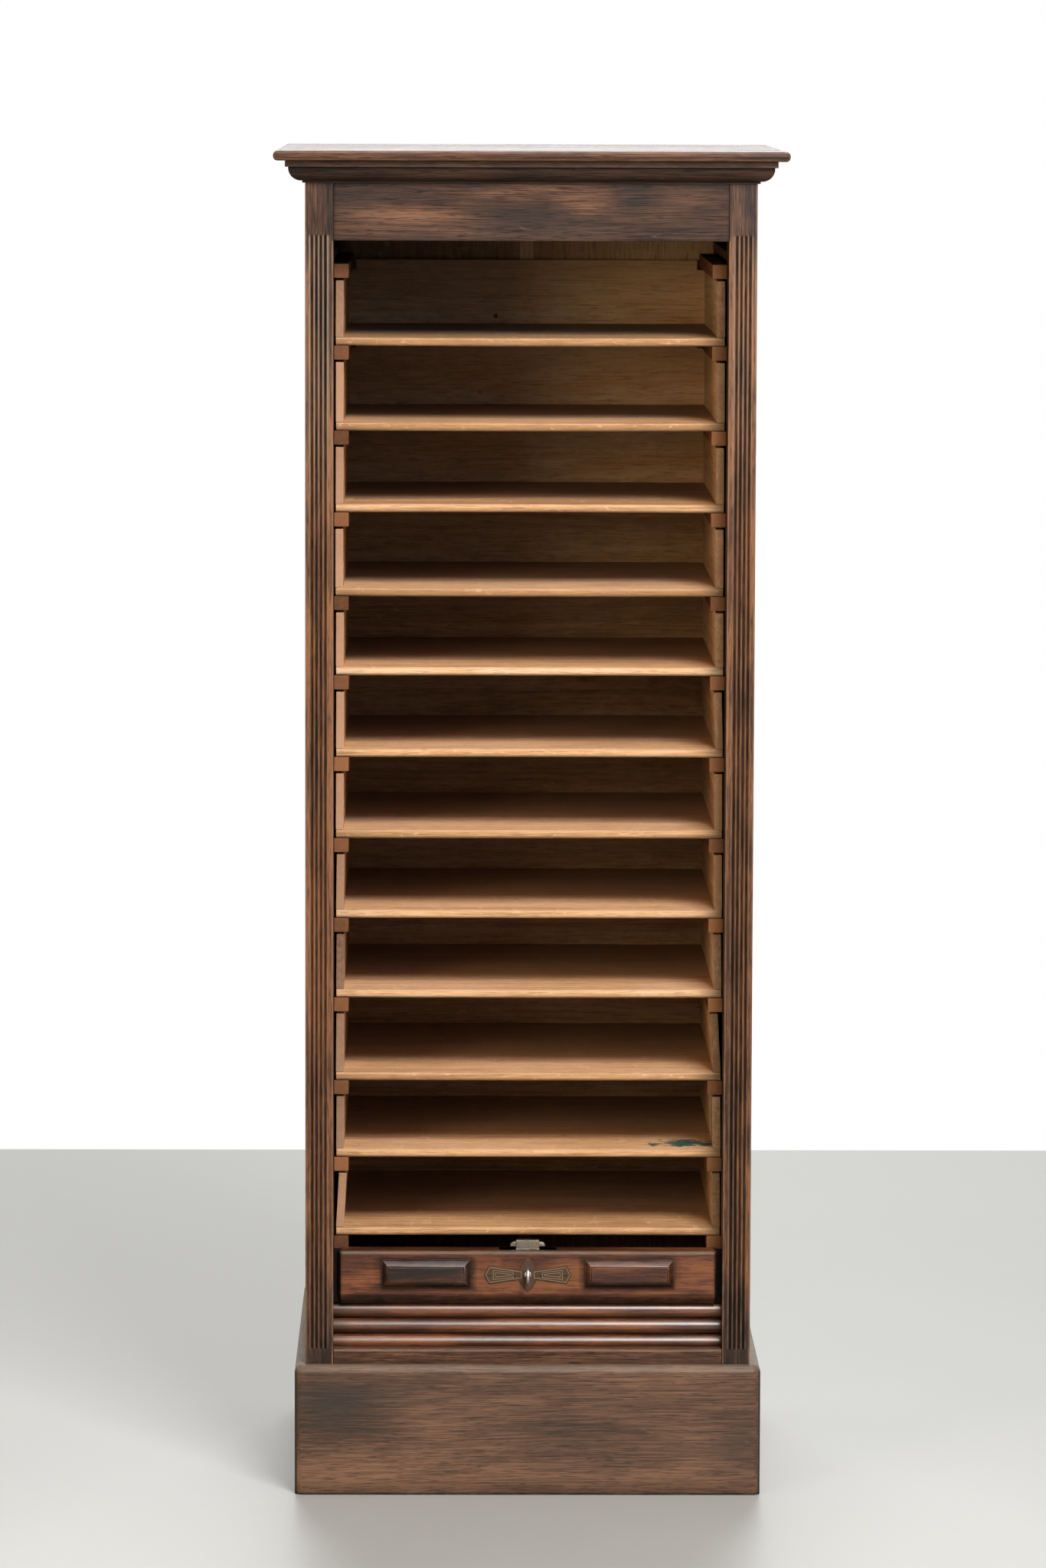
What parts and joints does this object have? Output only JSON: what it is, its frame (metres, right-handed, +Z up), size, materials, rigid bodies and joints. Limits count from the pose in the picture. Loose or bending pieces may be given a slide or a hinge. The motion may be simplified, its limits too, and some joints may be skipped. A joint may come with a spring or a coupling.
{
  "type": "tambour filing cabinet",
  "caption": "Tall oak filing cabinet with a downward roll shutter of half-round slats and a column of open sliding trays.",
  "frame": {"origin": "middle of the top board's outline, on the floor", "axes": "+Z up, -Y to the front that the trays slide out of, +X to the right seen from the front"},
  "size_m": [0.5196, 0.4894, 1.376],
  "materials": {
    "dark_oak": "dark stained and waxed oak",
    "tray_oak": "worn natural oak",
    "inner_oak": "unstained aged oak",
    "brass": "dull aged brass",
    "lock_steel": "worn steel",
    "key_steel": "bright steel",
    "canvas": "glued linen canvas"
  },
  "bodies": {
    "carcass": {"plinth_front": "dark_oak", "plinth_sides": "dark_oak", "left_front_stile": "dark_oak", "right_front_stile": "dark_oak", "left_track_rail": "dark_oak", "right_track_rail": "dark_oak", "left_side_frame": "dark_oak", "right_side_frame": "dark_oak", "left_side_panels": "dark_oak", "right_side_panels": "dark_oak", "top_rail": "dark_oak", "head_rail": "dark_oak", "bottom_sill": "dark_oak", "top_board": "dark_oak", "cornice": "dark_oak", "back_frame": "dark_oak", "back_panels": "dark_oak", "inner_back": "inner_oak", "base_board": "inner_oak", "left_runners": "inner_oak", "right_runners": "inner_oak", "tail_stop": "inner_oak", "strike_plate": "lock_steel", "stored_slats": "dark_oak", "stored_canvas": "canvas"},
    "shutter": {"lock_rail": "dark_oak", "rail_grips": "dark_oak", "front_slats": "dark_oak", "escutcheon": "brass", "escutcheon_pins": "brass", "lock_case": "lock_steel", "shutter_canvas": "canvas"},
    "key": {"key": "key_steel"},
    "claw_left": {"claw_left": "lock_steel"},
    "claw_right": {"claw_right": "lock_steel"},
    "tray_01": {"tray_01_base": "tray_oak", "tray_01_sides": "tray_oak"},
    "tray_02": {"tray_02_base": "tray_oak", "tray_02_sides": "tray_oak"},
    "tray_03": {"tray_03_base": "tray_oak", "tray_03_sides": "tray_oak"},
    "tray_04": {"tray_04_base": "tray_oak", "tray_04_sides": "tray_oak"},
    "tray_05": {"tray_05_base": "tray_oak", "tray_05_sides": "tray_oak"},
    "tray_06": {"tray_06_base": "tray_oak", "tray_06_sides": "tray_oak"},
    "tray_07": {"tray_07_base": "tray_oak", "tray_07_sides": "tray_oak"},
    "tray_08": {"tray_08_base": "tray_oak", "tray_08_sides": "tray_oak"},
    "tray_09": {"tray_09_base": "tray_oak", "tray_09_sides": "tray_oak"},
    "tray_10": {"tray_10_base": "tray_oak", "tray_10_sides": "tray_oak"},
    "tray_11": {"tray_11_base": "tray_oak", "tray_11_sides": "tray_oak"},
    "tray_12": {"tray_12_base": "tray_oak", "tray_12_sides": "tray_oak"}
  },
  "joints": [
    {"name": "shutter_slide", "type": "slide", "parent": "carcass", "child": "shutter", "axis": [0, 0, -1], "range_m": [-1.035, 0]},
    {"name": "key_turn", "type": "hinge", "parent": "shutter", "child": "key", "pos_m": [0, -0.19325, 0.228], "axis": [0, 1, 0], "range_deg": [-90, 0]},
    {"name": "claw_left_slide", "type": "slide", "parent": "shutter", "child": "claw_left", "axis": [-1, 0, 0], "range_m": [0, 0.007]},
    {"name": "claw_right_slide", "type": "slide", "parent": "shutter", "child": "claw_right", "axis": [1, 0, 0], "range_m": [0, 0.007]},
    {"name": "tray_01_slide", "type": "slide", "parent": "carcass", "child": "tray_01", "axis": [0, -1, 0], "range_m": [0, 0.3]},
    {"name": "tray_02_slide", "type": "slide", "parent": "carcass", "child": "tray_02", "axis": [0, -1, 0], "range_m": [0, 0.3]},
    {"name": "tray_03_slide", "type": "slide", "parent": "carcass", "child": "tray_03", "axis": [0, -1, 0], "range_m": [0, 0.3]},
    {"name": "tray_04_slide", "type": "slide", "parent": "carcass", "child": "tray_04", "axis": [0, -1, 0], "range_m": [0, 0.3]},
    {"name": "tray_05_slide", "type": "slide", "parent": "carcass", "child": "tray_05", "axis": [0, -1, 0], "range_m": [0, 0.3]},
    {"name": "tray_06_slide", "type": "slide", "parent": "carcass", "child": "tray_06", "axis": [0, -1, 0], "range_m": [0, 0.3]},
    {"name": "tray_07_slide", "type": "slide", "parent": "carcass", "child": "tray_07", "axis": [0, -1, 0], "range_m": [0, 0.3]},
    {"name": "tray_08_slide", "type": "slide", "parent": "carcass", "child": "tray_08", "axis": [0, -1, 0], "range_m": [0, 0.3]},
    {"name": "tray_09_slide", "type": "slide", "parent": "carcass", "child": "tray_09", "axis": [0, -1, 0], "range_m": [0, 0.3]},
    {"name": "tray_10_slide", "type": "slide", "parent": "carcass", "child": "tray_10", "axis": [0, -1, 0], "range_m": [0, 0.3]},
    {"name": "tray_11_slide", "type": "slide", "parent": "carcass", "child": "tray_11", "axis": [0, -1, 0], "range_m": [0, 0.3]},
    {"name": "tray_12_slide", "type": "slide", "parent": "carcass", "child": "tray_12", "axis": [0, -1, 0], "range_m": [0, 0.3]}
  ],
  "couplings": [
    {"joint": "claw_left_slide", "follows": "key_turn", "m_per_rad": -0.00445},
    {"joint": "claw_right_slide", "follows": "key_turn", "m_per_rad": -0.00445}
  ]
}
